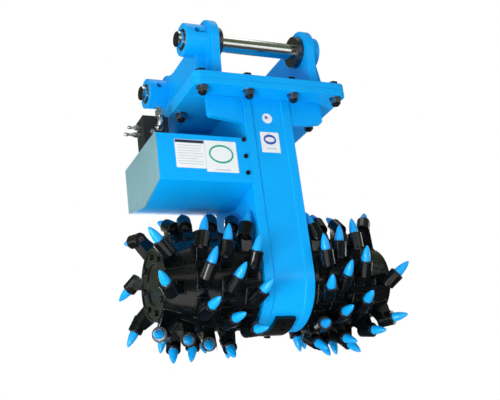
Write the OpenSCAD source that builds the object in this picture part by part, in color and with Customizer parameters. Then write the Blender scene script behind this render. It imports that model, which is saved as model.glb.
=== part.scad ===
// Twin-header drum cutter for an excavator arm: a pin-on bracket, a gear leg, a hydraulic motor
// behind a guard, and two pick drums on one cross shaft. Millimetres. The origin is the middle of
// the front pin axis, +X runs along the pins to the right, +Y to the back, +Z up.

/* [Pins] */
// Diameter of both mounting pins
pin_d = 60; // [50:1:66]
// Distance between the two pin axes
pin_pitch = 436; // [400:1:480]
// Clear width between the bush flanges, where the arm fits
jaw_w = 310; // [260:1:320]
// How far each pin stands out of its left boss
pin_stub = 25; // [22:1:40]
// Diameter of the cross hole in each pin
pin_hole_d = 16; // [8:1:18]
// Width of the grease grooves in the pins
groove_w = 2; // [1:0.5:4]
// Depth of the grease grooves in the pins
groove_depth = 1; // [0.5:0.5:2]

/* [Mounting ears] */
// Distance between the inner faces of the ear plates
ear_gap = 360; // [350:1:380]
// Thickness of one ear plate
ear_t = 33; // [25:1:40]
// Diameter of the ear's rings round the pins
hub_d = 164; // [150:1:176]
// Diameter of the bosses outside the ears
boss_d = 124; // [110:1:140]
// Length of the long bosses on the left
left_boss_l = 84; // [70:1:110]
// Length of the short bosses on the right
right_boss_l = 35; // [25:1:60]
// Height of the web's upper edge over the pin axes
web_top = 48; // [30:1:60]
// Radius of the blends from the rings to the web
web_blend_r = 150; // [80:1:180]
// Diameter of the bush flanges
bush_flange_d = 120; // [110:1:130]
// Wall of the bushes
bush_wall = 10; // [6:1:14]
// Diameter of the retaining-bolt holes in the left bosses
lock_hole_d = 22; // [12:1:26]
// Tilt of the retaining-bolt holes above the horizontal
lock_tilt = 13; // [0:1:30]
// Thickness of the ribs under the front bosses
rib_t = 25; // [15:1:35]

/* [Base plate and flange] */
// Width of the bracket's base plate and of the flange under it
plate_w = 612; // [590:1:660]
// Length of both plates from front to back
plate_l = 510; // [490:1:540]
// Thickness of each plate
plate_t = 25; // [20:1:32]
// How far the plates reach in front of the front pin axis
plate_front = 105; // [100:1:120]
// Height of the pin axes over the base plate
pin_height = 178; // [165:1:190]
// Corner radius of the plates
plate_corner_r = 28; // [10:1:36]
// Thread diameter of the flange bolts
bolt_d = 24; // [16:1:26]
// Distance of the outer bolts from the plate's side edges
bolt_inset_x = 36; // [30:1:42]
// Distance of the front and rear bolts from the plate's edges
bolt_inset_y = 30; // [26:1:34]
// Distance between the two inner bolts of the front row
bolt_inner_pitch = 180; // [150:1:240]

/* [Gear leg] */
// Width of the leg across both case plates
leg_w = 194; // [190:1:200]
// Depth of the leg from front to back
leg_l = 350; // [346:1:370]
// Distance from the front pin axis to the leg's middle
leg_y = 150; // [140:1:165]
// Depth of the drum axis under the pin axes
drum_drop = 888; // [870:1:920]
// Thickness of one case side plate
case_plate_t = 35; // [30:1:36]
// Wall of the band that closes the case
case_wall = 15; // [10:1:17]
// How far the band lies behind the edges of the side plates
band_inset = 4; // [2:1:6]
// Reach of the head plates to each side of the leg's middle
head_reach = 233; // [215:1:236]
// Thickness of the head plates
head_t = 25; // [15:1:30]
// Height of the head plates at the leg
head_h = 100; // [80:1:110]
// How much lower the head plates are at the leg than at their tips
head_slope = 17; // [0:1:30]
// Thickness of the wear shoe over the leg's round end
shoe_t = 12; // [8:1:20]
// Width of the wear shoe
shoe_w = 76; // [50:1:110]

/* [Gear train] */
// Gear module
gear_module = 8; // [7.8:0.1:8.2]
// Teeth of the pinion, an odd number
pinion_teeth = 17; // [15:2:19]
// Teeth of the idler, an even number
idler_teeth = 24; // [22:2:26]
// Teeth of the drum gear
drum_teeth = 35; // [33:1:36]
// Width of the gear faces
gear_w = 80; // [60:1:90]
// Radius of the drum shaft in its bearings
shaft_r = 50; // [45:1:54]
// Radius of the motor shaft in its bearings
pinion_shaft_r = 26; // [20:1:30]
// Radius of the idler's fixed pin
idler_pin_r = 30; // [25:1:34]

/* [Drums] */
// Diameter of the drum shell
drum_d = 330; // [310:2:340]
// Wall of the drum shell
drum_wall = 20; // [14:1:24]
// Distance from the leg's side to the drum's inner end
drum_gap = 8; // [5:1:14]
// Length of one drum
drum_l = 335; // [325:1:345]
// Length of the taper at the drum's outer end
drum_taper_l = 102; // [90:1:110]
// Diameter of the rim at the drum's outer end
drum_rim_d = 256; // [250:2:266]
// Radius that the pick tips turn on
pick_tip_r = 268; // [262:1:272]
// Length of a pick's head
pick_head_l = 58; // [50:1:62]
// Diameter of a pick's head
pick_head_d = 33; // [28:1:36]
// Diameter of a pick's shank
pick_shank_d = 25; // [18:1:27]
// Lean of the picks in the direction of cutting
pick_lean = 40; // [35:1:45]
// Diameter of a pick holder
holder_d = 52; // [44:1:54]
// Length of a pick holder
holder_l = 56; // [46:1:60]

/* [Motor and guard] */
// Length of the motor guard from the leg outwards
guard_l = 350; // [340:1:370]
// Sheet thickness of the motor guard
guard_t = 8; // [5:1:10]
// Gap between the circle of the pick tips and the guard's ridge
guard_clear = 14; // [10:1:24]
// How much lower the guard's floor is at its middle ridge
guard_ridge = 39; // [20:1:44]
// Height of the guard's open top over the motor axis
guard_rise = 94; // [90:1:110]
// Diameter of the motor's body
motor_d = 140; // [120:1:144]
// Length of the motor's body outside its flange
motor_l = 183; // [170:1:190]
// Width of the motor's square flange
motor_flange_w = 160; // [156:1:166]
// Thickness of the motor's flange
motor_flange_t = 20; // [14:1:24]
// Length of the manifold block along the pins
block_l = 98; // [80:1:104]
// Depth of the manifold block
block_w = 80; // [60:1:90]
// Depth of the manifold block's top under the pin axes
block_drop = 243; // [238:1:260]

/* [Hidden] */

$fn = 64;
blue = [0.0, 0.58, 0.92];
black = [0.05, 0.05, 0.06];
steel = [0.62, 0.63, 0.65];
dark_steel = [0.22, 0.22, 0.24];
zinc = [0.75, 0.75, 0.78];
bronze = [0.72, 0.52, 0.28];
pale = [0.62, 0.74, 0.76];
through = 1;

// Clearances
seat_gap = 0.02;
running_gap = 0.05;
part_gap = 0.3;

// Places worked out from the sizes above
pin_r = pin_d / 2;
half_jaw = jaw_w / 2;
ear_in = ear_gap / 2;
ear_out = ear_in + ear_t;
left_boss_end = ear_out + left_boss_l;
right_boss_end = ear_out + right_boss_l;
bush_r = pin_r + bush_wall;
plate_top = -pin_height;
flange_top = plate_top - plate_t;
flange_bottom = flange_top - plate_t;
plate_back = plate_l - plate_front;
half_leg = leg_w / 2;
case_in = half_leg - case_plate_t;
leg_r = leg_l / 2;
leg_front = leg_y - leg_r;
leg_back = leg_y + leg_r;
band_r = leg_r - band_inset;
cavity_r = band_r - case_wall;
drum_z = -drum_drop;
drum_r = drum_d / 2;
pinion_pitch_r = gear_module * pinion_teeth / 2;
idler_pitch_r = gear_module * idler_teeth / 2;
drum_pitch_r = gear_module * drum_teeth / 2;
idler_z = drum_z + drum_pitch_r + idler_pitch_r;
motor_z = idler_z + idler_pitch_r + pinion_pitch_r;
bore_depth = case_plate_t * 6 / 7;

// A bar or disc along the pins, from x0 to x1
module bar_x(r, x0, x1) {
    translate([x0, 0, 0]) rotate([0, 90, 0]) cylinder(r = r, h = x1 - x0);
}

// A ring along the pins, from x0 to x1
module ring_x(r_out, r_in, x0, x1) {
    difference() {
        bar_x(r_out, x0, x1);
        bar_x(r_in, x0 - through, x1 + through);
    }
}

// A turned shape along the pins, from an outline of radius and place
module turned_x(outline) {
    rotate([0, 90, 0]) rotate_extrude() polygon(outline);
}

// A plate across the pins, from an outline of depth and height
module plate_x(x0, x1) {
    translate([x0, 0, 0]) rotate([90, 0, 90]) linear_extrude(x1 - x0) children();
}

// A plate along the pins, from an outline of width and height, between two depths
module plate_y(y0, y1) {
    translate([0, y1, 0]) rotate([90, 0, 0]) linear_extrude(y1 - y0) children();
}

// A block between two corners
module block(low, high) {
    translate(low) cube(high - low);
}

// What is made once on the right and again as its mirror image
module both_sides() {
    children();
    mirror([1, 0, 0]) children();
}

module at_drum() {
    translate([0, leg_y, drum_z]) children();
}

module at_idler() {
    translate([0, leg_y, idler_z]) children();
}

module at_motor() {
    translate([0, leg_y, motor_z]) children();
}

module at_rear_pin() {
    translate([0, pin_pitch, 0]) children();
}

// Bracket

// Side outline of one ear: two rings joined by a web that stands on the base plate
foot_front_share = 0.57;
foot_back_share = 0.985;
sunk_share = 0.97;
front_tangent = -hub_d / 2 * cos(12) * sunk_share;
front_tangent_z = -hub_d / 2 * sin(12) * sunk_share;
back_tangent_y = hub_d / 2 * cos(40) * sunk_share;
back_tangent_z = -hub_d / 2 * sin(40) * sunk_share;
blend_z = web_top + web_blend_r;
blend_y = sqrt(pow(hub_d / 2 + web_blend_r, 2) - pow(blend_z, 2));
blend_start = -180 + atan(blend_z / blend_y);
blend_steps = 12;

// Curve between a ring and the web, which starts a little inside the ring
module web_blend() {
    touch = [blend_y, blend_z] * hub_d / 2 / (hub_d / 2 + web_blend_r);
    polygon(concat(
        [[0, 0], touch * sunk_share],
        [for (i = [1:blend_steps])
            let (a = blend_start + (-90 - blend_start) * i / blend_steps)
            [blend_y + web_blend_r * cos(a), blend_z + web_blend_r * sin(a)]],
        [[blend_y, 0]]
    ));
}

module ear_outline() {
    circle(d = hub_d);
    translate([pin_pitch, 0]) circle(d = hub_d);
    web_blend();
    translate([pin_pitch, 0]) mirror([1, 0]) web_blend();
    polygon([
        [-plate_front * foot_front_share, plate_top],
        [front_tangent, front_tangent_z],
        [0, web_top],
        [pin_pitch, web_top],
        [pin_pitch + back_tangent_y, back_tangent_z],
        [plate_back * foot_back_share, plate_top]
    ]);
}

// Rib under the front boss, in width and height
rib_foot_share = 0.88;
rib_top_share = 0.82;
rib_sunk_share = 0.9;

module boss_rib() {
    rib_foot = plate_w / 2 * rib_foot_share;
    rib_top = plate_w / 2 * rib_top_share;
    plate_y(-rib_t / 2, rib_t / 2)
        polygon([
            [ear_out - through, plate_top],
            [rib_foot, plate_top],
            [rib_top, -boss_d / 2 * rib_sunk_share],
            [rib_top, 0],
            [ear_out - through, 0]
        ]);
}

// One ear with its bosses, drawn on the right
module ear(boss_end) {
    difference() {
        union() {
            plate_x(ear_in, ear_out) ear_outline();
            bar_x(boss_d / 2, ear_out - through, boss_end);
            at_rear_pin() bar_x(boss_d / 2, ear_out - through, boss_end);
            boss_rib();
        }
        bar_x(bush_r + seat_gap, 0, boss_end * 2);
        at_rear_pin() bar_x(bush_r + seat_gap, 0, boss_end * 2);
    }
}

// Radial hole for the bolt that keeps a pin in place
lock_x = -(ear_out + left_boss_l / 2);

module lock_hole() {
    translate([lock_x, 0, 0]) rotate([90 - lock_tilt, 0, 0]) cylinder(d = lock_hole_d, h = boss_d);
}

module left_ear() {
    color(blue) difference() {
        mirror([1, 0, 0]) ear(left_boss_end);
        lock_hole();
        at_rear_pin() lock_hole();
    }
}

module right_ear() {
    color(blue) ear(right_boss_end);
}

// Bush with a flange towards the jaw, drawn on the right
module bush(boss_end) {
    difference() {
        union() {
            bar_x(bush_flange_d / 2, half_jaw, ear_in - seat_gap);
            bar_x(bush_r, half_jaw, boss_end);
        }
        bar_x(pin_r + running_gap, 0, boss_end * 2);
    }
}

module bush_pair() {
    difference() {
        mirror([1, 0, 0]) bush(left_boss_end);
        lock_hole();
    }
    bush(right_boss_end);
}

module front_bushes() {
    color(dark_steel) bush_pair();
}

module rear_bushes() {
    color(dark_steel) at_rear_pin() bush_pair();
}

// Mounting pin: bevelled ends, two grease grooves at the jaw's edges and a cross hole on the left
pin_bevel = pin_d / 15;
cross_hole_tilt = 30;

module mounting_pin() {
    left = -(left_boss_end + pin_stub);
    groove_out = half_jaw - groove_w / 2;
    groove_in = groove_out - groove_w;
    bottom = pin_r - groove_depth;
    difference() {
        turned_x([
            [0, left],
            [pin_r - pin_bevel, left],
            [pin_r, left + pin_bevel],
            [pin_r, -groove_out],
            [bottom, -groove_out],
            [bottom, -groove_in],
            [pin_r, -groove_in],
            [pin_r, groove_in],
            [bottom, groove_in],
            [bottom, groove_out],
            [pin_r, groove_out],
            [pin_r, right_boss_end - pin_bevel],
            [pin_r - pin_bevel, right_boss_end],
            [0, right_boss_end]
        ]);
        translate([-(left_boss_end + pin_hole_d / 2 + groove_w), 0, 0])
            rotate([cross_hole_tilt, 0, 0])
            cylinder(d = pin_hole_d, h = pin_d * 2, center = true);
    }
}

module front_pin() {
    color(steel) mounting_pin();
}

module rear_pin() {
    color(steel) at_rear_pin() mounting_pin();
}

// Flat outline of the two plates: a rectangle with rounded corners
module plate_outline() {
    inner = plate_corner_r;
    translate([-plate_w / 2, -plate_front + inner]) square([plate_w, plate_l - 2 * inner]);
    translate([-plate_w / 2 + inner, -plate_front]) square([plate_w - 2 * inner, plate_l]);
    for (x = [-plate_w / 2 + inner, plate_w / 2 - inner])
        for (y = [-plate_front + inner, plate_back - inner])
            translate([x, y]) circle(plate_corner_r);
}

// Places of the flange bolts: four at the front, two at the sides, four at the back
bolt_x = plate_w / 2 - bolt_inset_x;
bolt_front = -plate_front + bolt_inset_y;
bolt_back = plate_back - bolt_inset_y;
row_x = [-bolt_x, -bolt_inner_pitch / 2, bolt_inner_pitch / 2, bolt_x];
bolt_places = concat(
    [for (x = row_x) [x, bolt_front]],
    [for (x = [-bolt_x, bolt_x]) [x, leg_y]],
    [for (x = row_x) [x, bolt_back]]
);
bolt_hole_d = bolt_d + 2;
hex_d = bolt_d * 1.73;
head_height = bolt_d * 0.62;
nut_height = bolt_d * 0.8;
washer_d = bolt_d * 1.85;
washer_t = bolt_d / 6;
bolt_tail = bolt_d / 3;

module at_flange_bolts() {
    for (place = bolt_places)
        translate([place.x, place.y, 0]) children();
}

module drilled_plate(top) {
    translate([0, 0, top - plate_t]) linear_extrude(plate_t)
        difference() {
            plate_outline();
            for (place = bolt_places)
                translate(place) circle(d = bolt_hole_d);
        }
}

module bracket_plate() {
    color(blue) drilled_plate(plate_top);
}

module frame_flange() {
    color(blue) drilled_plate(flange_top);
}

module flange_bolts() {
    low = flange_bottom - washer_t - nut_height - bolt_tail;
    color(black) at_flange_bolts() {
        translate([0, 0, plate_top]) cylinder(d = hex_d, h = head_height, $fn = 6);
        translate([0, 0, low]) cylinder(d = bolt_d, h = plate_top - low + through);
    }
}

module flange_washers() {
    color(dark_steel) at_flange_bolts() translate([0, 0, flange_bottom - washer_t])
        difference() {
            cylinder(d = washer_d, h = washer_t);
            translate([0, 0, -through]) cylinder(d = bolt_hole_d, h = washer_t + 2 * through);
        }
}

module flange_nuts() {
    color(zinc) at_flange_bolts() translate([0, 0, flange_bottom - washer_t - nut_height])
        difference() {
            cylinder(d = hex_d, h = nut_height, $fn = 6);
            translate([0, 0, -through])
                cylinder(r = bolt_d / 2 + seat_gap, h = nut_height + 2 * through);
        }
}

// Gear leg

// Outline of the leg in depth and height: straight down to a round end about the drum axis
module leg_outline(r, top) {
    translate([leg_y, drum_z]) circle(r);
    translate([leg_y - r, drum_z]) square([2 * r, top - drum_z]);
}

module gear_case_band() {
    color(blue) plate_x(-case_in, case_in) difference() {
        leg_outline(band_r, flange_bottom);
        leg_outline(cavity_r, flange_bottom - case_wall);
    }
}

// One case plate, drawn on the right, with the bores for the carrier, idler pin and bearing
carrier_seat_r = shaft_r * 2.1;
bearing_seat_r = pinion_shaft_r * 1.73;

module case_plate() {
    difference() {
        plate_x(case_in, half_leg) leg_outline(leg_r, flange_bottom);
        at_drum() bar_x(carrier_seat_r + seat_gap, 0, half_leg * 2);
        at_idler() bar_x(idler_pin_r + seat_gap, 0, case_in + bore_depth);
        at_motor() bar_x(bearing_seat_r + seat_gap, 0, case_in + bore_depth);
    }
}

module right_case_plate() {
    color(blue) case_plate();
}

// The left case plate is open to the motor shaft
module left_case_plate() {
    color(blue) difference() {
        mirror([1, 0, 0]) case_plate();
        at_motor() bar_x(bearing_seat_r + seat_gap, -half_leg * 2, 0);
    }
}

// Head plates: gussets under the flange on both sides of the leg, front and back
head_corner_r = head_t * 0.6;
head_front = leg_front + head_t / 5;
head_back = leg_back - head_t / 5;
head_low = flange_bottom - head_h;

module head_outline() {
    tip = head_reach - head_corner_r;
    tip_z = head_low + head_slope + head_corner_r;
    polygon([
        [half_leg, flange_bottom],
        [head_reach, flange_bottom],
        [head_reach, tip_z],
        [tip, tip_z],
        [tip, tip_z - head_corner_r],
        [half_leg, head_low]
    ]);
    translate([tip, tip_z]) circle(head_corner_r);
}

module head_plates() {
    color(blue) both_sides() {
        plate_y(head_front, head_front + head_t) head_outline();
        plate_y(head_back - head_t, head_back) head_outline();
    }
}

// Wear shoe round the leg's lower end, with its bolts
shoe_from = 236;
shoe_sweep = 68;
shoe_r = leg_r + shoe_t;
shoe_bolt_r = shoe_w * 0.11;
shoe_bolt_angles = [shoe_from + shoe_sweep * 0.2, shoe_from + shoe_sweep * 0.8];

module shoe_bolt_spots() {
    for (angle = shoe_bolt_angles)
        at_drum() rotate([angle - 90, 0, 0]) translate([0, 0, band_r]) children();
}

module wear_shoe() {
    color(black) difference() {
        at_drum() rotate([90, 0, 90]) rotate([0, 0, shoe_from])
            rotate_extrude(angle = shoe_sweep)
            translate([band_r, -shoe_w / 2]) square([shoe_r - band_r, shoe_w]);
        shoe_bolt_spots() translate([0, 0, -through])
            cylinder(r = shoe_bolt_r + seat_gap, h = shoe_r);
    }
}

module shoe_bolts() {
    color(dark_steel) shoe_bolt_spots() {
        translate([0, 0, shoe_r - band_r])
            cylinder(r = shoe_bolt_r * 1.6, h = shoe_bolt_r, $fn = 6);
        cylinder(r = shoe_bolt_r, h = shoe_r - band_r + through);
    }
}

// Gear train

// Involute spur gear. The angle of the tooth's half width at a radius follows the involute.
pressure = 20;
backlash = gear_module * 0.04;
flank_points = 6;

function involute(angle) = tan(angle) * 180 / PI - angle;

function half_width_angle(r, teeth) =
    let (pitch_r = gear_module * teeth / 2, base_r = pitch_r * cos(pressure))
    90 / teeth - backlash / pitch_r * 90 / PI + involute(pressure)
        - (r > base_r ? involute(acos(base_r / r)) : 0);

function tooth_radii(teeth) =
    let (root = gear_module * (teeth / 2 - 1.25), tip = gear_module * (teeth / 2 + 1))
    [for (i = [0:flank_points]) root + (tip - root) * i / flank_points];

function gear_points(teeth) =
    let (radii = tooth_radii(teeth))
    [for (k = [0:teeth - 1])
        for (side = [-1, 1])
            for (i = [0:flank_points])
                let (
                    r = radii[side < 0 ? i : flank_points - i],
                    angle = k * 360 / teeth + side * half_width_angle(r, teeth)
                )
                [r * cos(angle), r * sin(angle)]];

// A gear across the pins. The first tooth points up, or half a tooth past it.
module gear(teeth, bore_r, half_tooth) {
    turn = 90 + half_tooth * 180 / teeth;
    plate_x(-gear_w / 2, gear_w / 2) difference() {
        rotate(turn) polygon(gear_points(teeth));
        circle(bore_r);
    }
}

// A key lies half in the shaft and half in the hub, on the shaft's lower side
module key_block(r, x0, x1, grow) {
    key_w = r * 0.3;
    key_h = r * 0.12;
    block([x0, -key_w / 2 - grow, -r - key_h - grow], [x1, key_w / 2 + grow, -r + key_h]);
}

gear_seat_r = shaft_r * 1.2;
shoulder_r = shaft_r * 1.1;
drum_seat_r = shaft_r * 0.9;
key_half = gear_w * 0.4;

module drum_gear() {
    color(dark_steel) at_drum() difference() {
        gear(drum_teeth, gear_seat_r + seat_gap, 0);
        key_block(gear_seat_r, -key_half, key_half, seat_gap);
    }
}

module drum_gear_key() {
    color(steel) at_drum() key_block(gear_seat_r, -key_half, key_half, 0);
}

// Bearing stack along the drum shaft, counted outwards from the leg's middle
bearing_x0 = case_in + gear_module / 2;
bearing_x1 = bearing_x0 + shaft_r * 1.2;
seal_x0 = bearing_x1 + part_gap;
seal_x1 = seal_x0 + shaft_r * 0.28;
carrier_end = seal_x1 + shaft_r * 0.1;
race_r = shaft_r * 1.8;
hub_x0 = carrier_end + shaft_r;
hub_x1 = half_leg + drum_gap + drum_l * 0.64;

module drum_shaft() {
    color(steel) at_drum() difference() {
        union() {
            bar_x(gear_seat_r, -gear_w / 2, gear_w / 2);
            bar_x(shoulder_r, -bearing_x0, bearing_x0);
            bar_x(shaft_r, -carrier_end, carrier_end);
            bar_x(drum_seat_r, -hub_x1, hub_x1);
        }
        key_block(gear_seat_r, -key_half, key_half, 0);
        both_sides() key_block(drum_seat_r, hub_x0, hub_x1 + through, 0);
        shaft_end_bolt_spots() bar_x(end_bolt_r + seat_gap, -end_bolt_l, 0);
    }
}

module drum_keys() {
    color(steel) at_drum() both_sides() key_block(drum_seat_r, hub_x0, hub_x1, 0);
}

// Carriers hold the drum shaft's bearings in the case plates and reach into the hollow drums
carrier_flange_t = shaft_r * 0.24;
carrier_flange_r = shaft_r * 2.5;
carrier_bolt_r = shaft_r * 0.12;
carrier_bolt_ring = shaft_r * 2.3;
carrier_bolt_count = 8;

module carrier_bolt_spots() {
    both_sides() for (i = [0:carrier_bolt_count - 1])
        at_drum() rotate([i * 360 / carrier_bolt_count, 0, 0])
            translate([half_leg + carrier_flange_t, 0, carrier_bolt_ring]) children();
}

module bearing_carriers() {
    flange = half_leg + carrier_flange_t;
    color(dark_steel) difference() {
        at_drum() both_sides() turned_x([
            [race_r + seat_gap, case_in],
            [carrier_seat_r, case_in],
            [carrier_seat_r, half_leg],
            [carrier_flange_r, half_leg],
            [carrier_flange_r, flange],
            [carrier_seat_r, flange],
            [carrier_seat_r, carrier_end],
            [race_r, carrier_end],
            [race_r, bearing_x1 + part_gap],
            [race_r + seat_gap, bearing_x1 + part_gap]
        ]);
        carrier_bolt_spots() bar_x(carrier_bolt_r + seat_gap, -carrier_flange_t * 2, through);
    }
}

module carrier_bolts() {
    color(black) carrier_bolt_spots() {
        bar_x(carrier_bolt_r, -carrier_flange_t, 0);
        bar_x(carrier_bolt_r * 1.6, 0, carrier_bolt_r);
    }
}

// Roller bearings: outer rings in the carriers, inner rings on the shaft, rollers between
roller_r = shaft_r * 0.16;
roller_ring = shaft_r * 1.4;
roller_count = 18;

module bearing_outer_rings() {
    color(steel) at_drum() both_sides()
        ring_x(race_r, roller_ring + roller_r + running_gap, bearing_x0, bearing_x1);
}

module bearing_inner_rings() {
    color(steel) at_drum() both_sides()
        ring_x(roller_ring - roller_r - seat_gap, shaft_r + seat_gap, bearing_x0, bearing_x1);
}

module bearing_rollers() {
    inset = roller_r / 2;
    color(zinc) at_drum() both_sides() for (i = [0:roller_count - 1])
        rotate([i * 360 / roller_count, 0, 0]) translate([0, 0, roller_ring])
            bar_x(roller_r, bearing_x0 + inset, bearing_x1 - inset);
}

module shaft_seals() {
    color(black) at_drum() both_sides()
        ring_x(race_r - seat_gap, shaft_r + running_gap, seal_x0, seal_x1);
}

// Pinion on the motor shaft
motor_wall = motor_d * 0.09;
motor_flange_x = -half_leg - motor_flange_t;
motor_end = -half_leg - motor_flange_t - motor_l;
rotor_x0 = motor_end + motor_wall * 1.5;
rotor_x1 = motor_flange_x - motor_wall * 1.5;
cap_l = motor_d / 6;
pinion_end = case_in + bore_depth - part_gap;

// Its tooth count is odd, so half a tooth of turn points a tooth straight down at the idler
module pinion() {
    color(dark_steel) at_motor() difference() {
        gear(pinion_teeth, pinion_shaft_r + seat_gap, 1);
        key_block(pinion_shaft_r, -key_half, key_half, seat_gap);
    }
}

module pinion_key() {
    color(steel) at_motor() key_block(pinion_shaft_r, -key_half, key_half, 0);
}

module motor_shaft() {
    color(steel) at_motor() difference() {
        bar_x(pinion_shaft_r, rotor_x0 - motor_wall / 2, pinion_end);
        key_block(pinion_shaft_r, -key_half, key_half, 0);
    }
}

module pinion_bearings() {
    inner = case_in;
    outer = case_in + bore_depth - part_gap;
    color(bronze) at_motor() both_sides()
        ring_x(bearing_seat_r, pinion_shaft_r + running_gap, inner, outer);
}

// Lip seal between the motor flange and the bearing on the shaft's way into the case
module pinion_seal() {
    color(black) at_motor() mirror([1, 0, 0])
        ring_x(bearing_seat_r, pinion_shaft_r + running_gap, case_in + bore_depth, half_leg);
}

// Idler on its fixed pin
idler_bore_r = idler_pin_r * 1.4;

module idler_gear() {
    color(dark_steel) at_idler() gear(idler_teeth, idler_bore_r + seat_gap, 1);
}

module idler_bush() {
    color(bronze) at_idler()
        ring_x(idler_bore_r, idler_pin_r + running_gap, -gear_w / 2, gear_w / 2);
}

module idler_pin() {
    reach = case_in + bore_depth - part_gap;
    color(steel) at_idler() bar_x(idler_pin_r, -reach, reach);
}

module idler_spacers() {
    color(steel) at_idler() both_sides()
        ring_x(idler_bore_r, idler_pin_r + seat_gap, gear_w / 2 + part_gap, case_in);
}

// Drums

drum_in = half_leg + drum_gap;
drum_out = drum_in + drum_l;
rim_r = drum_rim_d / 2;
rim_wall = rim_r * 0.08;
taper_x = drum_out - drum_taper_l - rim_wall;
end_wall = drum_wall;
inner_lip_r = drum_r - drum_wall * 1.5;
hub_r = drum_seat_r * 1.56;
web_t = drum_wall * 1.25;
cover_r = rim_r - rim_wall;
cover_t = drum_wall * 0.6;
cover_x = drum_out - drum_wall * 0.75;
cover_seat_r = cover_r * 0.68;

// One drum on the right: shell, inner lip, web, hub and the seat of its outer cover
module drum_body() {
    difference() {
        turned_x([
            [drum_seat_r + seat_gap, hub_x0],
            [hub_r, hub_x0],
            [hub_r, hub_x1 - web_t],
            [drum_r - drum_wall, hub_x1 - web_t],
            [drum_r - drum_wall, drum_in + end_wall],
            [inner_lip_r, drum_in + end_wall],
            [inner_lip_r, drum_in],
            [drum_r, drum_in],
            [drum_r, taper_x],
            [rim_r, drum_out - rim_wall],
            [rim_r, drum_out],
            [cover_r + seat_gap, drum_out],
            [cover_r + seat_gap, cover_x],
            [cover_seat_r, cover_x],
            [cover_seat_r, cover_x - end_wall],
            [cover_r - end_wall / 2, cover_x - end_wall],
            [drum_r - drum_wall, taper_x],
            [drum_r - drum_wall, hub_x1],
            [drum_seat_r + seat_gap, hub_x1]
        ]);
        key_block(drum_seat_r, hub_x0 - through, hub_x1 + through, seat_gap);
    }
}

module right_drum() {
    color(black) at_drum() drum_body();
}

module left_drum() {
    color(black) at_drum() mirror([1, 0, 0]) drum_body();
}

// End plates clamp each drum against its shaft
end_plate_t = drum_wall * 0.6;
end_plate_r = drum_seat_r * 1.35;
end_bolt_r = drum_seat_r * 0.16;
end_bolt_l = end_bolt_r * 4;
end_bolt_ring = drum_seat_r * 0.55;
end_bolt_count = 4;

module shaft_end_bolt_spots() {
    both_sides() for (i = [0:end_bolt_count - 1])
        rotate([(i + 0.5) * 360 / end_bolt_count, 0, 0])
            translate([hub_x1 + end_plate_t, 0, end_bolt_ring]) children();
}

module shaft_end_plates() {
    color(dark_steel) at_drum() difference() {
        both_sides() bar_x(end_plate_r, hub_x1, hub_x1 + end_plate_t);
        shaft_end_bolt_spots() bar_x(end_bolt_r + seat_gap, -end_plate_t - through, through);
    }
}

module shaft_end_bolts() {
    color(black) at_drum() shaft_end_bolt_spots() {
        bar_x(end_bolt_r, -end_bolt_l + through, 0);
        bar_x(end_bolt_r * 1.6, 0, end_bolt_r);
    }
}

// Outer covers, sunk in the rims
cover_bolt_r = cover_r * 0.055;
cover_bolt_ring = cover_r * 0.84;
cover_bolt_count = 8;

module cover_bolt_spots() {
    both_sides() for (i = [0:cover_bolt_count - 1])
        rotate([i * 360 / cover_bolt_count, 0, 0])
            translate([cover_x + cover_t, 0, cover_bolt_ring]) children();
}

module drum_covers() {
    color(black) at_drum() difference() {
        both_sides() turned_x([
            [0, cover_x],
            [cover_r, cover_x],
            [cover_r, cover_x + cover_t],
            [cover_r * 0.62, cover_x + cover_t],
            [cover_r * 0.56, cover_x + cover_t * 0.5],
            [0, cover_x + cover_t * 0.5]
        ]);
        cover_bolt_spots() bar_x(cover_bolt_r + seat_gap, -cover_t - through, through);
    }
}

module cover_bolts() {
    color(dark_steel) at_drum() cover_bolt_spots() {
        bar_x(cover_bolt_r, -cover_t, 0);
        rotate([0, 90, 0]) cylinder(r = cover_bolt_r * 1.7, h = cover_bolt_r * 1.1, $fn = 6);
    }
}

// Picks. Each row is a share of the drum's length, the outward lean, and the angles of its picks
// round the drum axis, counted upwards from the front.
right_pick_rows = [
    [0.033, -14, [-44, -9, 25, 60, 95, 131, 166, 202]],
    [0.2, 5, [-124]],
    [0.18, 12, [-75]],
    [0.285, 2, [-32, 2, 35, 124, 160, 196, 232]],
    [0.33, 5, [88, -92]],
    [0.51, -4, [-21, 14, 46, 130, 166, 204]],
    [0.57, -2, [94, -112]],
    [0.48, 17, [-66]],
    [0.65, 14, [-84]],
    [0.77, 20, [-54, 145, 106, 222]],
    [0.95, 28, [78]],
    [0.98, 32, [1, -40, 124, 168, -148]]
];
left_pick_rows = [
    [0.015, -20, [-48, -12, 58, 92, 128, 164, 200]],
    [0.08, -8, [23]],
    [0.11, 7, [-115]],
    [0.22, 5, [-84]],
    [0.295, -16, [-36, 0, 89, 125, 161, 197, 232]],
    [0.37, -6, [34]],
    [0.58, -12, [-24, 12, 44, 95, 131, 167, 204]],
    [0.57, 18, [-68, -108]],
    [0.8, 14, [-101, -131, 150, 107]],
    [0.84, 23, [-59]],
    [1.1, 14, [131]],
    [1.12, 28, [-141, 177]],
    [1.2, 34, [-6, -51]],
    [1.24, 42, [28]]
];
far_lean = 24;
pedestal_w = holder_d * 0.8;
shank_tail = holder_l / 14;
head_shares = [0, 0.03, 0.12, 0.26, 0.44, 0.64, 0.86, 1];

// Moves to a pick's tip, with the pick's axis up and its body below
module at_picks(rows) {
    for (row = rows)
        for (angle = row[2])
            rotate([90 - angle, 0, 0]) translate([drum_in + drum_l * row[0], 0, pick_tip_r])
                rotate([-pick_lean, 0, 0]) rotate([0, row[1], 0]) children();
}

// Bullet-shaped head on a round shank
function head_outline_points() =
    [for (share = head_shares)
        [pick_head_d / 2 * pow(sin(90 * share), 0.62), -pick_head_l * share]];

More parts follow.
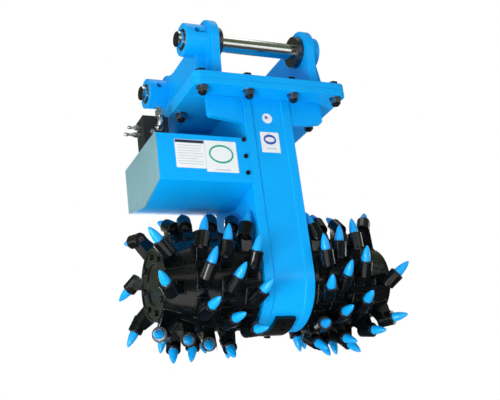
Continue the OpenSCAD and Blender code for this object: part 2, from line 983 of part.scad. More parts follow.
module pick() {
    shank_r = pick_shank_d / 2;
    end = -pick_head_l - holder_l - shank_tail;
    rotate_extrude() polygon(concat(
        head_outline_points(),
        [[shank_r, -pick_head_l], [shank_r, end], [0, end]]
    ));
}

module right_picks() {
    color(blue) at_drum() at_picks(right_pick_rows) pick();
}

module left_picks() {
    color(blue) at_drum() mirror([1, 0, 0]) at_picks(left_pick_rows) pick();
}

// Foot of a holder, from the shell up to the holder's axis. Under a pick that leans far outwards
// the foot leans outwards too.
module holder_foot(row) {
    s0 = pick_head_l + holder_l * 0.12;
    s1 = pick_head_l + holder_l * 0.92;
    mid = (s0 + s1) / 2;
    along = cos(row[1]);
    tip_x = drum_in + drum_l * row[0];
    mid_x = tip_x - mid * sin(row[1]);
    leans_out = row[1] >= far_lean || mid_x + pedestal_w / 2 > drum_out;
    if (!leans_out) {
        plate_x(mid_x - pedestal_w / 2, mid_x + pedestal_w / 2) polygon([
            [-s0 * along * sin(pick_lean), pick_tip_r - s0 * along * cos(pick_lean)],
            [-s1 * along * sin(pick_lean), pick_tip_r - s1 * along * cos(pick_lean)],
            [-drum_r * 0.62, drum_r * 0.66],
            [-drum_r * 0.1, drum_r * 0.9]
        ]);
    } else {
        mid_y = -mid * along * sin(pick_lean);
        mid_z = pick_tip_r - mid * along * cos(pick_lean);
        rotate([-atan(mid_y / mid_z), 0, 0])
            plate_y(-pedestal_w / 2, pedestal_w / 2) polygon([
                [mid_x + holder_d * 0.3, norm([mid_y, mid_z])],
                [mid_x - holder_d * 0.45, norm([mid_y, mid_z]) + holder_d * 0.1],
                [taper_x + drum_taper_l * 0.25, rim_r * 0.9],
                [drum_out - rim_wall, rim_r * 0.9]
            ]);
    }
}

module holders(rows) {
    difference() {
        union() {
            at_picks(rows) translate([0, 0, -pick_head_l - holder_l])
                cylinder(d = holder_d, h = holder_l - part_gap);
            for (row = rows)
                for (angle = row[2])
                    rotate([90 - angle, 0, 0]) holder_foot(row);
        }
        turned_x([
            [0, drum_in - drum_gap],
            [drum_r, drum_in - drum_gap],
            [drum_r, taper_x],
            [rim_r, drum_out - rim_wall],
            [rim_r, drum_out],
            [0, drum_out]
        ]);
        at_picks(rows) translate([0, 0, -pick_head_l - holder_l - shank_tail - through])
            cylinder(r = pick_shank_d / 2 + running_gap, h = holder_l + shank_tail + 2 * through);
        at_picks(rows) translate([0, 0, -pick_head_l - part_gap / 2])
            cylinder(r = pick_head_d / 2 + part_gap, h = pick_head_l);
    }
}

module right_pick_holders() {
    color(black) at_drum() holders(right_pick_rows);
}

module left_pick_holders() {
    color(black) at_drum() mirror([1, 0, 0]) holders(left_pick_rows);
}

// Motor guard

guard_x0 = -half_leg - guard_l;
guard_cap_t = guard_t * 0.75;
guard_top = motor_z + guard_rise;
ridge_z = drum_z + pick_tip_r + guard_clear;
guard_low = ridge_z + guard_ridge;
floor_slope = atan(guard_ridge / leg_r);

// Section of the guard in depth and height, drawn in by a wall
module guard_section(wall, top) {
    half = leg_r - wall;
    low = ridge_z + wall / cos(floor_slope);
    polygon([
        [leg_y - half, top],
        [leg_y - half, low + half * tan(floor_slope)],
        [leg_y, low],
        [leg_y + half, low + half * tan(floor_slope)],
        [leg_y + half, top]
    ]);
}

// Bolts that hold the guard to its brackets, by their depth under the guard's top
guard_bolt_r = guard_t * 0.6;
guard_bolt_shares = [0.05, 0.42, 0.79];
bracket_l = guard_bolt_r * 6;
guard_bolt_x = -half_leg - bracket_l / 2;
bracket_t = guard_t * 1.5;

module guard_bolt_spots() {
    for (share = guard_bolt_shares)
        for (side = [-1, 1])
            translate([guard_bolt_x, leg_y + side * leg_r, guard_top - share * (guard_top - guard_low)])
                rotate([-90 * side, 0, 0]) children();
}

module guard_bolt_holes() {
    guard_bolt_spots() translate([0, 0, -guard_t - bracket_t - through])
        cylinder(r = guard_bolt_r + seat_gap, h = guard_t + bracket_t + 2 * through);
}

module motor_guard() {
    color(blue) difference() {
        plate_x(guard_x0 + guard_cap_t, -half_leg) difference() {
            guard_section(0, guard_top);
            guard_section(guard_t, guard_top + guard_t);
        }
        guard_bolt_holes();
    }
}

module guard_end_plate() {
    color(pale) plate_x(guard_x0, guard_x0 + guard_cap_t) guard_section(0, guard_top);
}

module guard_brackets() {
    mid = leg_r - guard_t - bracket_t / 2;
    color(blue) difference() {
        for (side = [-1, 1])
            block(
                [-half_leg - bracket_l, leg_y + side * mid - bracket_t / 2, guard_low + bracket_t],
                [-half_leg, leg_y + side * mid + bracket_t / 2, guard_top]
            );
        guard_bolt_holes();
    }
}

module guard_bolts() {
    color(black) guard_bolt_spots() {
        cylinder(r = guard_bolt_r * 1.8, h = guard_bolt_r * 1.3, $fn = 6);
        translate([0, 0, -guard_t - bracket_t])
            cylinder(r = guard_bolt_r, h = guard_t + bracket_t + through);
    }
}

// Hydraulic motor

motor_r = motor_d / 2;
motor_bolt_r = motor_flange_w * 0.04;
motor_bolt_at = motor_flange_w * 0.42;

module motor_housing() {
    bore_r = motor_r - motor_wall;
    color(dark_steel) difference() {
        at_motor() union() {
            bar_x(motor_r, motor_end, motor_flange_x + through);
            block(
                [motor_flange_x, -motor_flange_w / 2, -motor_flange_w / 2],
                [-half_leg, motor_flange_w / 2, motor_flange_w / 2]
            );
        }
        at_motor() bar_x(bore_r, motor_end - through, rotor_x1 + motor_wall / 2);
        at_motor() bar_x(pinion_shaft_r + running_gap, motor_end, 0);
        motor_bolt_spots() bar_x(motor_bolt_r + seat_gap, -through, motor_flange_t + through);
    }
}

module motor_bolt_spots() {
    at_motor() for (y = [-motor_bolt_at, motor_bolt_at])
        for (z = [-motor_bolt_at, motor_bolt_at])
            translate([motor_flange_x, y, z]) children();
}

module motor_bolts() {
    color(black) motor_bolt_spots() {
        bar_x(motor_bolt_r, 0, motor_flange_t);
        bar_x(motor_bolt_r * 1.5, -motor_bolt_r * 1.4, 0);
    }
}

// The rotor is the cylinder block that turns with the shaft
module motor_rotor() {
    color(steel) at_motor()
        ring_x(motor_r - motor_wall * 1.3, pinion_shaft_r + seat_gap, rotor_x0, rotor_x1);
}

module motor_end_cap() {
    color(dark_steel) at_motor() difference() {
        union() {
            bar_x(motor_r, motor_end - cap_l, motor_end);
            bar_x(motor_r - motor_wall - seat_gap, motor_end - through, motor_end + motor_wall / 2);
        }
        bar_x(pinion_shaft_r + running_gap, rotor_x0 - motor_wall - through, 0);
    }
}

// Manifold block on the motor's end cap, with its bolts, plugs and fittings
block_x1 = motor_end - cap_l;
block_x0 = block_x1 - block_l;
block_y0 = leg_y;
block_y1 = leg_y + block_w;
block_top = -block_drop;
block_low = motor_z - motor_r * 0.6;
block_bolt_r = block_l * 0.06;
block_bolt_zs = [motor_z - motor_r * 0.45, motor_z + motor_r * 0.45];

module block_bolt_spots() {
    for (z = block_bolt_zs)
        translate([block_x0, leg_y + block_w * 0.3, z]) children();
}

module manifold_block() {
    color(black) difference() {
        block([block_x0, block_y0, block_low], [block_x1, block_y1, block_top]);
        block_bolt_spots() bar_x(block_bolt_r + seat_gap, -through, block_l + through);
        port_spots() bar_x(port_r + seat_gap, -through, port_depth);
        translate([elbow_x, block_y0, elbow_z]) rotate([-90, 0, 0])
            cylinder(r = elbow_r + seat_gap, h = port_depth * 2, center = true);
        plug_spots() cylinder(r = plug_r + seat_gap, h = port_depth * 2, center = true);
    }
}

module manifold_bolts() {
    color(dark_steel) block_bolt_spots() {
        bar_x(block_bolt_r, 0, block_l);
        bar_x(block_bolt_r * 1.6, -block_bolt_r * 1.4, 0);
    }
}

// Two straight hose fittings stand out of the block's left face
port_r = block_w * 0.08;
port_depth = block_l * 0.16;
port_y = leg_y + block_w * 0.5;
port_drops = [block_w * 0.44, block_w * 0.8];
port_lengths = [block_w * 0.58, block_w * 0.78];

module port_spots() {
    for (drop = port_drops)
        translate([block_x0, port_y, block_top - drop]) children();
}

module port_fitting(length) {
    turned_x([
        [0, -length],
        [port_r * 0.7, -length],
        [port_r * 1.15, -length * 0.92],
        [port_r * 1.15, -length * 0.8],
        [port_r * 0.7, -length * 0.72],
        [port_r, -length * 0.6],
        [port_r, port_depth],
        [0, port_depth]
    ]);
    translate([-length * 0.42, 0, 0]) rotate([0, 90, 0])
        cylinder(r = port_r * 1.7, h = length * 0.24, $fn = 6);
    translate([-length * 0.14, 0, 0]) rotate([0, 90, 0])
        cylinder(r = port_r * 1.5, h = length * 0.14, $fn = 6);
}

module port_fittings() {
    color(zinc) for (i = [0:1])
        translate([block_x0, port_y, block_top - port_drops[i]]) port_fitting(port_lengths[i]);
}

// Elbow on the block's front face: out of the block, then up to a hose nut
elbow_x = block_x1 - block_l * 0.42;
elbow_z = block_top - block_w * 0.62;
elbow_r = block_w * 0.14;
elbow_bend = elbow_r * 1.7;
elbow_stub = block_w * 0.12;
elbow_rise = block_w * 0.62;

module elbow_fitting() {
    color(zinc) translate([elbow_x, block_y0, elbow_z]) {
        rotate([90, 0, 0]) cylinder(r = elbow_r * 1.45, h = elbow_stub, $fn = 6);
        rotate([-90, 0, 0]) cylinder(r = elbow_r, h = port_depth * 0.9);
        translate([0, -elbow_stub, elbow_bend]) rotate([90, 0, -90]) rotate([0, 0, -90])
            rotate_extrude(angle = 90) translate([elbow_bend, 0]) circle(elbow_r);
        translate([0, -elbow_stub - elbow_bend, elbow_bend]) elbow_top();
    }
}

// Upper leg of the elbow with its hex nut and open hose end
module elbow_top() {
    bore_r = elbow_r * 0.55;
    difference() {
        union() {
            cylinder(r = elbow_r, h = elbow_rise);
            translate([0, 0, elbow_rise * 0.25])
                cylinder(r = elbow_r * 1.6, h = elbow_rise * 0.5, $fn = 6);
        }
        translate([0, 0, elbow_rise * 0.3]) cylinder(r = bore_r, h = elbow_rise);
    }
}

// Hex plugs in the block's front face
plug_r = block_w * 0.09;
plug_shares = [[0.68, 0.837], [0.65, 1.688]];

module plug_spots() {
    for (place = plug_shares)
        translate([block_x1 - block_l * place.x, block_y0, block_top - block_w * place.y])
            rotate([90, 0, 0]) children();
}

module block_plugs() {
    color(zinc) plug_spots() {
        cylinder(r = plug_r * 1.4, h = plug_r, $fn = 6);
        translate([0, 0, -port_depth * 0.9]) cylinder(r = plug_r, h = port_depth * 0.9);
    }
}

bracket_plate();
left_ear();
right_ear();
front_pin();
rear_pin();
front_bushes();
rear_bushes();
frame_flange();
head_plates();
flange_bolts();
flange_nuts();
flange_washers();
gear_case_band();
left_case_plate();
right_case_plate();
wear_shoe();
shoe_bolts();
motor_guard();
guard_end_plate();
guard_brackets();
guard_bolts();
motor_housing();
motor_rotor();
motor_end_cap();
motor_shaft();
motor_bolts();
pinion();
pinion_key();
pinion_bearings();
pinion_seal();
idler_gear();
idler_bush();
idler_pin();
idler_spacers();
drum_gear();
drum_gear_key();
drum_shaft();
bearing_carriers();
carrier_bolts();
bearing_outer_rings();
bearing_inner_rings();
bearing_rollers();
shaft_seals();
left_drum();
right_drum();
drum_keys();
shaft_end_plates();
shaft_end_bolts();
left_pick_holders();
right_pick_holders();
left_picks();
right_picks();
drum_covers();
cover_bolts();
manifold_block();
manifold_bolts();
port_fittings();
elbow_fitting();
block_plugs();
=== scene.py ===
"""The looks of a twin drum cutter for an excavator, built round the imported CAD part."""

import math

import bmesh
import bpy
from mathutils import Matrix, Vector


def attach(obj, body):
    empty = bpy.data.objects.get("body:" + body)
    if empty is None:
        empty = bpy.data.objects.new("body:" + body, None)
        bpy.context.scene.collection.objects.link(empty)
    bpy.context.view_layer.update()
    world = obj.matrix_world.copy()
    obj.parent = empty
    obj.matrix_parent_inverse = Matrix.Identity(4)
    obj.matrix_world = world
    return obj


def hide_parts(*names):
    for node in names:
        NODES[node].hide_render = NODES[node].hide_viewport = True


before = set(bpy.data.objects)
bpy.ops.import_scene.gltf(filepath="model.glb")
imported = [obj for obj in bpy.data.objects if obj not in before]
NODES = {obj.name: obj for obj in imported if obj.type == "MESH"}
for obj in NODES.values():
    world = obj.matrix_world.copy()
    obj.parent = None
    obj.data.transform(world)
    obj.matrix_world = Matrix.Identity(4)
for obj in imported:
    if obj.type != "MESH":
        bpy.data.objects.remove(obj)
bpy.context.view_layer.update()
MM = 0.001

# Places that the welds, labels and picks are set by, in metres in the part's frame
PLATE_TOP = -0.178
FLANGE_BOTTOM = -0.228
LEG_Y = 0.150
LEG_R = 0.175
BAND_R = 0.171
CASE_IN = 0.062
DRUM_Z = -0.888
DRUM_R = 0.165
DRUM_OUT = 0.440
TAPER_L = 0.102
RIM_R = 0.128
RIM_WALL = 0.01024
TAPER_X = DRUM_OUT - TAPER_L - RIM_WALL
PIN_PITCH = 0.436
EAR_IN = 0.180
EAR_OUT = 0.213
# Everything on a pin nearer to its axis than this is a groove or a hole
PLATED_R = 0.0292

# Angles in degrees up to which neighbouring faces are shaded as one curve
SMOOTH = 32.0
ROUND_SMOOTH = 40.0
BEAD_SMOOTH = 80.0
BEVEL_SEGMENTS = 2
FLAT_ANGLE = 0.25
JOIN_DISTANCE = 2e-6

# Heights of the relief in the finishes, in metres for a strength of 1
LUMP_DEPTH = 0.0035
PEEL_DEPTH = 0.0012
SCRATCH_DEPTH = 0.0006
GRAIN_DEPTH = 0.0006


# Materials


class Graph:
    """A node material that is built step by step."""

    def __init__(self, name):
        self.material = bpy.data.materials.new(name)
        self.material.use_nodes = True
        self.tree = self.material.node_tree
        self.shader = self.tree.nodes["Principled BSDF"]
        self.place = self.tree.nodes.new("ShaderNodeTexCoord").outputs["Object"]

    def node(self, kind, links=(), **values):
        made = self.tree.nodes.new(kind)
        for key, value in values.items():
            setattr(made, key, value)
        for key, source in dict(links).items():
            if isinstance(source, bpy.types.NodeSocket):
                self.tree.links.new(source, made.inputs[key])
            else:
                made.inputs[key].default_value = source
        return made

    def noise(self, scale, detail=3.0, rough=0.55, stretch=(1, 1, 1), shift=(0, 0, 0)):
        mapped = self.node(
            "ShaderNodeMapping",
            {"Vector": self.place, "Scale": stretch, "Location": shift},
        ).outputs[0]
        return self.node(
            "ShaderNodeTexNoise",
            {"Vector": mapped, "Scale": scale, "Detail": detail, "Roughness": rough},
        ).outputs["Fac"]

    def ramp(self, factor, low, high, bottom=0.0, top=1.0):
        return self.node(
            "ShaderNodeMapRange",
            {
                "Value": factor,
                "From Min": low,
                "From Max": high,
                "To Min": bottom,
                "To Max": top,
            },
        ).outputs[0]

    def mix(self, factor, first, second):
        made = self.tree.nodes.new("ShaderNodeMix")
        made.data_type = "RGBA"
        for key, source in ((0, factor), (6, first), (7, second)):
            if isinstance(source, bpy.types.NodeSocket):
                self.tree.links.new(source, made.inputs[key])
            else:
                made.inputs[key].default_value = source
        return made.outputs[2]

    def math(self, operation, first, second):
        return self.node(
            "ShaderNodeMath", {0: first, 1: second}, operation=operation
        ).outputs[0]

    def bump(self, height, distance, strength=1.0, normal=None):
        links = {"Height": height, "Distance": distance, "Strength": strength}
        if normal is not None:
            links["Normal"] = normal
        return self.node("ShaderNodeBump", links).outputs[0]

    def set(self, **values):
        for key, value in values.items():
            socket = self.shader.inputs[key.replace("_", " ")]
            if isinstance(value, bpy.types.NodeSocket):
                self.tree.links.new(value, socket)
            else:
                socket.default_value = value
        return self.material


def rgb(red, green, blue):
    return (red, green, blue, 1.0)


def paint(
    name, base, deep, dust, roughness=0.3, coat=0.4, peel=0.25, lumps=0.6, dirt=0.3, shine=0.3
):
    """Sprayed paint on welded steel, with changes of shade, dust, orange peel and dents."""
    g = Graph(name)
    broad = g.ramp(g.noise(scale=4.5, detail=4.0), low=0.35, high=0.68)
    specks = g.noise(scale=26.0, detail=6.0, rough=0.72, shift=(3, 7, 1))
    patch = g.ramp(specks, low=0.58, high=0.78, top=dirt)
    grain = g.ramp(g.noise(scale=700.0, detail=2.0), low=0.3, high=0.8, top=0.10)
    colour = g.mix(broad, rgb(*base), rgb(*deep))
    colour = g.mix(patch, colour, rgb(*dust))
    colour = g.mix(grain, colour, rgb(*deep))
    rub = g.noise(scale=34.0, detail=5.0, rough=0.6, shift=(1, 2, 3))
    rough = g.ramp(rub, low=0.3, high=0.75, bottom=roughness - 0.07, top=roughness + 0.12)
    dents = g.noise(scale=16.0, detail=2.0, rough=0.4)
    wave = g.bump(dents, lumps * LUMP_DEPTH, strength=0.5)
    skin_grain = g.noise(scale=330.0, detail=2.0, rough=0.5)
    skin = g.bump(skin_grain, peel * PEEL_DEPTH, strength=0.5, normal=wave)
    return g.set(
        Base_Color=colour,
        Roughness=rough,
        Normal=skin,
        Coat_Weight=coat,
        Coat_Roughness=0.12,
        Specular_IOR_Level=shine,
    )


def metal(name, base, stain, roughness, stretch=(1, 1, 1), scratch=0.2, scale=420.0):
    """Bare or plated steel, with tool marks and faint stains."""
    g = Graph(name)
    marks = g.noise(scale, detail=3.0, rough=0.6, stretch=stretch)
    specks = g.noise(scale=48.0, detail=5.0, rough=0.7, shift=(5, 1, 2))
    colour = g.mix(g.ramp(specks, low=0.45, high=0.75), rgb(*base), rgb(*stain))
    rub = g.noise(scale=90.0, detail=4.0, rough=0.6)
    rough = g.ramp(rub, low=0.3, high=0.75, bottom=roughness * 0.75, top=roughness * 1.4)
    normal = g.bump(marks, scratch * SCRATCH_DEPTH, strength=0.4)
    return g.set(Base_Color=colour, Roughness=rough, Normal=normal, Metallic=1.0)


def plain(name, base, dark, roughness, bump=0.1):
    """Printed foil, rubber or plastic with a fine grain."""
    g = Graph(name)
    grain = g.noise(scale=260.0, detail=4.0, rough=0.6)
    colour = g.mix(g.ramp(grain, low=0.35, high=0.8, top=0.35), rgb(*base), rgb(*dark))
    rub = g.noise(scale=60.0, detail=4.0)
    rough = g.ramp(rub, low=0.3, high=0.7, bottom=roughness * 0.85, top=roughness * 1.2)
    normal = g.bump(grain, bump * GRAIN_DEPTH, strength=0.3)
    return g.set(Base_Color=colour, Roughness=rough, Normal=normal)


BLUE = paint(
    "blue_paint",
    base=(0.001, 0.385, 0.90),
    deep=(0.0005, 0.345, 0.835),
    dust=(0.004, 0.42, 0.87),
    roughness=0.36,
    coat=0.15,
    lumps=0.4,
    dirt=0.25,
    shine=0.10,
)
PALE = paint(
    "pale_paint",
    base=(0.215, 0.39, 0.43),
    deep=(0.185, 0.345, 0.385),
    dust=(0.26, 0.405, 0.425),
    roughness=0.42,
    coat=0.1,
)
BLACK = paint(
    "black_paint",
    base=(0.0018, 0.0028, 0.0034),
    deep=(0.0010, 0.0014, 0.0018),
    dust=(0.0055, 0.0065, 0.0075),
    roughness=0.24,
    coat=0.5,
    peel=0.9,
    lumps=1.6,
    dirt=0.5,
    shine=0.15,
)
PICK = paint(
    "pick_paint",
    base=(0.003, 0.37, 0.86),
    deep=(0.002, 0.31, 0.77),
    dust=(0.02, 0.41, 0.82),
    roughness=0.33,
    coat=0.35,
    peel=0.6,
    lumps=0.4,
    shine=0.2,
)
MOTOR = paint(
    "motor_paint",
    base=(0.022, 0.026, 0.030),
    deep=(0.010, 0.012, 0.014),
    dust=(0.06, 0.062, 0.066),
    roughness=0.42,
    coat=0.1,
)
CHROME = metal(
    "pin_chrome",
    base=(0.70, 0.72, 0.69),
    stain=(0.58, 0.61, 0.57),
    roughness=0.10,
    stretch=(60.0, 0.4, 0.4),
    scratch=0.25,
    scale=60.0,
)
BUSH = metal(
    "bush_steel",
    base=(0.10, 0.10, 0.105),
    stain=(0.22, 0.20, 0.18),
    roughness=0.34,
    stretch=(1, 6, 6),
    scratch=0.5,
)
ZINC = metal(
    "zinc_steel",
    base=(0.62, 0.62, 0.60),
    stain=(0.42, 0.43, 0.45),
    roughness=0.30,
    stretch=(1, 1, 4),
    scratch=0.4,
)
NUT = metal(
    "nut_steel",
    base=(0.30, 0.31, 0.34),
    stain=(0.12, 0.13, 0.16),
    roughness=0.26,
    stretch=(1, 1, 4),
    scratch=0.4,
)
DARK = metal(
    "black_steel",
    base=(0.035, 0.035, 0.038),
    stain=(0.09, 0.08, 0.075),
    roughness=0.42,
    stretch=(1, 1, 3),
    scratch=0.5,
)
GEAR = metal(
    "gear_steel",
    base=(0.42, 0.41, 0.39),
    stain=(0.28, 0.26, 0.22),
    roughness=0.26,
    stretch=(5, 1, 1),
    scratch=0.5,
)
BRONZE = metal(
    "bearing_bronze",
    base=(0.58, 0.36, 0.14),
    stain=(0.40, 0.24, 0.10),
    roughness=0.32,
    stretch=(6, 1, 1),
    scratch=0.4,
)
CAST = metal(
    "cast_carrier",
    base=(0.16, 0.165, 0.17),
    stain=(0.08, 0.08, 0.085),
    roughness=0.55,
    scratch=1.2,
    scale=160.0,
)
SHANK = metal(
    "pick_shank",
    base=(0.10, 0.085, 0.105),
    stain=(0.17, 0.15, 0.16),
    roughness=0.38,
    scratch=0.5,
)
RUBBER = plain("seal_rubber", (0.018, 0.018, 0.02), (0.04, 0.04, 0.04), 0.6, bump=0.5)
FOIL = plain("label_foil", (0.80, 0.83, 0.84), (0.66, 0.70, 0.72), 0.32)
INK = plain("label_ink", (0.012, 0.02, 0.05), (0.03, 0.04, 0.07), 0.35)
GREY_INK = plain("label_grey", (0.50, 0.55, 0.59), (0.62, 0.66, 0.69), 0.4)
GREEN_INK = plain("label_green", (0.0, 0.36, 0.27), (0.02, 0.46, 0.36), 0.35)
BLUE_INK = plain("label_blue", (0.02, 0.07, 0.42), (0.05, 0.14, 0.52), 0.35)
VIOLET_INK = plain("label_violet", (0.12, 0.12, 0.42), (0.3, 0.3, 0.55), 0.35)


# Pieces


def smooth_mesh(bm, mesh, angle):
    """Smooth shading that breaks at edges sharper than the angle."""
    limit = math.radians(angle)
    for face in bm.faces:
        face.smooth = True
    for edge in bm.edges:
        edge.smooth = len(edge.link_faces) == 2 and edge.calc_face_angle(0.0) < limit
    bm.to_mesh(mesh)
    if "custom_normal" in mesh.attributes:
        mesh.attributes.remove(mesh.attributes["custom_normal"])


def node_bmesh(node):
    """The node's mesh with its split corners joined again."""
    bm = bmesh.new()
    bm.from_mesh(NODES[node].data)
    bmesh.ops.remove_doubles(bm, verts=bm.verts, dist=JOIN_DISTANCE)
    return bm


def new_piece(name, bm, body, slot, materials, angle=SMOOTH):
    """An object made of the mesh, which rides on the body."""
    mesh = bpy.data.meshes.new(name)
    smooth_mesh(bm, mesh, angle)
    bm.free()
    for material in materials:
        mesh.materials.append(material)
    piece = bpy.data.objects.new(name, mesh)
    bpy.context.scene.collection.objects.link(piece)
    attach(piece, body)
    return piece


def dress(node, body, slot, material, width, angle=SMOOTH, second=None, bare=None):
    """A finished copy of a node with its edges broken by a bevel, in millimetres.

    Faces for which bare(face) holds are of the second material.
    """
    bm = node_bmesh(node)
    bmesh.ops.dissolve_limit(
        bm, angle_limit=math.radians(FLAT_ANGLE), verts=bm.verts[:], edges=bm.edges[:]
    )
    for face in bm.faces:
        face.material_index = 1 if bare and bare(face) else 0
    materials = [material, second] if second else [material]
    piece = new_piece(node + "_finished", bm, body, slot, materials, angle)
    bevel = piece.modifiers.new("edges", "BEVEL")
    bevel.width = width * MM
    bevel.segments = BEVEL_SEGMENTS
    bevel.limit_method = "ANGLE"
    bevel.angle_limit = math.radians(angle)
    bevel.use_clamp_overlap = False
    bevel.harden_normals = True
    bevel.miter_outer = "MITER_ARC"
    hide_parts(node)


def finish_node(node, material):
    """Keeps a node as it is and gives it its finish."""
    item = NODES[node]
    if not item.material_slots:
        item.data.materials.append(material)
    for place in item.material_slots:
        place.material = material


# Weld beads: spacing of their rings, height and length of their ripples, and their slow wander
BEAD_STEP = 0.0024
BEAD_RIPPLE = 0.16
BEAD_PITCH = 3
BEAD_SIDES = 7
BEAD_WANDER = 0.08
BEAD_WANDER_TURN = 0.37
SHORTEST_BEAD = 4


def resample(points, closed):
    """Points at an even distance along a line through the given ones."""
    line = [Vector(p) for p in points]
    if closed:
        line.append(line[0].copy())
    lengths = [0.0]
    for a, b in zip(line, line[1:]):
        lengths.append(lengths[-1] + (b - a).length)
    count = max(SHORTEST_BEAD, round(lengths[-1] / BEAD_STEP))
    result, at = [], 0
    for i in range(count + (0 if closed else 1)):
        goal = lengths[-1] * i / count
        while at < len(lengths) - 2 and lengths[at + 1] < goal:
            at += 1
        span = max(lengths[at + 1] - lengths[at], 1e-9)
        result.append(line[at].lerp(line[at + 1], (goal - lengths[at]) / span))
    return result


def bead_rings(bm, line, closed, radius):
    """Rings of corners round a line, wider and narrower by turns."""
    count = len(line)
    rings, side = [], None
    for i, point in enumerate(line):
        after = line[(i + 1) % count] if closed else line[min(i + 1, count - 1)]
        before = line[i - 1] if closed or i else line[0]
        along = (after - before).normalized()
        if side is None:
            side = along.orthogonal().normalized()
        side = (side - along * side.dot(along)).normalized()
        up = along.cross(side)
        beat = abs((i % BEAD_PITCH) / BEAD_PITCH - 0.5) * 4.0 - 1.0
        size = radius * (1.0 + BEAD_RIPPLE * beat)
        size *= 1.0 + BEAD_WANDER * math.sin(i * BEAD_WANDER_TURN)
        ring = []
        for k in range(BEAD_SIDES):
            a = 2 * math.pi * k / BEAD_SIDES
            ring.append(bm.verts.new(point + (side * math.cos(a) + up * math.sin(a)) * size))
        rings.append(ring)
    return rings


def add_bead(bm, points, closed, radius):
    """A rippled weld bead along a line."""
    line = resample(points, closed)
    count = len(line)
    rings = bead_rings(bm, line, closed, radius)
    sides = BEAD_SIDES
    turn = 0
    if closed:
        # The last ring meets the first at the turn that fits best
        first, last = rings[0], rings[-1]
        turn = min(
            range(sides),
            key=lambda t: sum(
                (last[k].co - first[(k + t) % sides].co).length for k in range(sides)
            ),
        )
    for i in range(count if closed else count - 1):
        a = rings[i]
        b = rings[(i + 1) % count]
        t = turn if i == count - 1 else 0
        for k in range(sides):
            bm.faces.new((a[k], a[(k + 1) % sides], b[(k + 1 + t) % sides], b[(k + t) % sides]))
    if not closed:
        bm.faces.new(list(reversed(rings[0])))
        bm.faces.new(rings[-1])


def weld_piece(name, body, slot, material, lines):
    """One object with a bead along each (points, closed, radius)."""
    bm = bmesh.new()
    for points, closed, radius in lines:
        add_bead(bm, points, closed, radius)
    new_piece(name, bm, body, slot, [material], BEAD_SMOOTH)


def circle_x(x, y, z, radius, first=0.0, last=360.0, count=72):
    """Points of an arc across the pins."""
    turns = [math.radians(first + (last - first) * i / count) for i in range(count + 1)]
    if last - first >= 360.0:
        turns.pop()
    return [(x, y + radius * math.cos(a), z + radius * math.sin(a)) for a in turns]


# Painted steelwork: node and bevel

for node, width in (
    ("bracket_plate", 2.2),
    ("left_ear", 2.2),
    ("right_ear", 2.2),
    ("frame_flange", 2.2),
    ("head_plates", 2.2),
    ("gear_case_band", 1.0),
    ("left_case_plate", 2.0),
    ("right_case_plate", 2.0),
    ("motor_guard", 1.6),
    ("guard_brackets", 1.0),
):
    dress(node, "frame", "blue_paint", BLUE, width)
dress("guard_end_plate", "frame", "pale_paint", PALE, width=1.2)
dress("wear_shoe", "frame", "black_paint", BLACK, width=1.6)
dress("manifold_block", "frame", "motor_paint", MOTOR, width=1.6)
dress("motor_housing", "frame", "motor_paint", MOTOR, width=1.2)
dress("motor_end_cap", "frame", "motor_paint", MOTOR, width=1.2)

# Pins, bushes and fasteners

END_FACE = 0.3


def unplated(pin_y):
    """Tells the end faces, grooves and cross hole of a pin from its plated outside."""

    def bare(face):
        c = face.calc_center_median()
        return abs(face.normal.x) > END_FACE or math.hypot(c.y - pin_y, c.z) < PLATED_R

    return bare


for node, pin_y in (("front_pin", 0.0), ("rear_pin", PIN_PITCH)):
    dress(node, node, "pin_chrome", CHROME, width=0.8, second=DARK, bare=unplated(pin_y))
for node, slot, material, width in (
    ("front_bushes", "bush_steel", BUSH, 1.0),
    ("rear_bushes", "bush_steel", BUSH, 1.0),
    ("flange_bolts", "black_steel", DARK, 1.0),
    ("flange_nuts", "zinc_steel", NUT, 1.2),
    ("flange_washers", "bush_steel", NUT, 0.5),
    ("shoe_bolts", "black_steel", DARK, 0.6),
    ("guard_bolts", "black_steel", DARK, 0.5),
    ("port_fittings", "zinc_steel", ZINC, 0.8),
    ("elbow_fitting", "zinc_steel", ZINC, 0.8),
    ("block_plugs", "zinc_steel", ZINC, 0.6),
    ("manifold_bolts", "black_steel", DARK, 0.5),
):
    dress(node, "frame", slot, material, width)

# Drums and picks

for node in ("left_drum", "right_drum"):
    dress(node, "drums", "black_paint", BLACK, width=1.6)
dress("drum_covers", "drums", "black_paint", BLACK, width=1.2)
dress("cover_bolts", "drums", "black_steel", DARK, width=0.5)
for node in ("left_pick_holders", "right_pick_holders"):
    dress(node, "drums", "black_paint", BLACK, width=1.8, angle=ROUND_SMOOTH)

HOLDER_BEAD = 0.0046
ON_SHELL = 4e-4
FACES_SHELL = -0.6
SHORTEST_LOOP = 6


def shell_radius(x):
    """Radius of a drum's outside at a place along it."""
    x = abs(x)
    if x < TAPER_X:
        return DRUM_R
    share = min(1.0, (x - TAPER_X) / (DRUM_OUT - RIM_WALL - TAPER_X))
    return DRUM_R + (RIM_R - DRUM_R) * share


def radius_of(co):
    return math.hypot(co.y - LEG_Y, co.z - DRUM_Z)


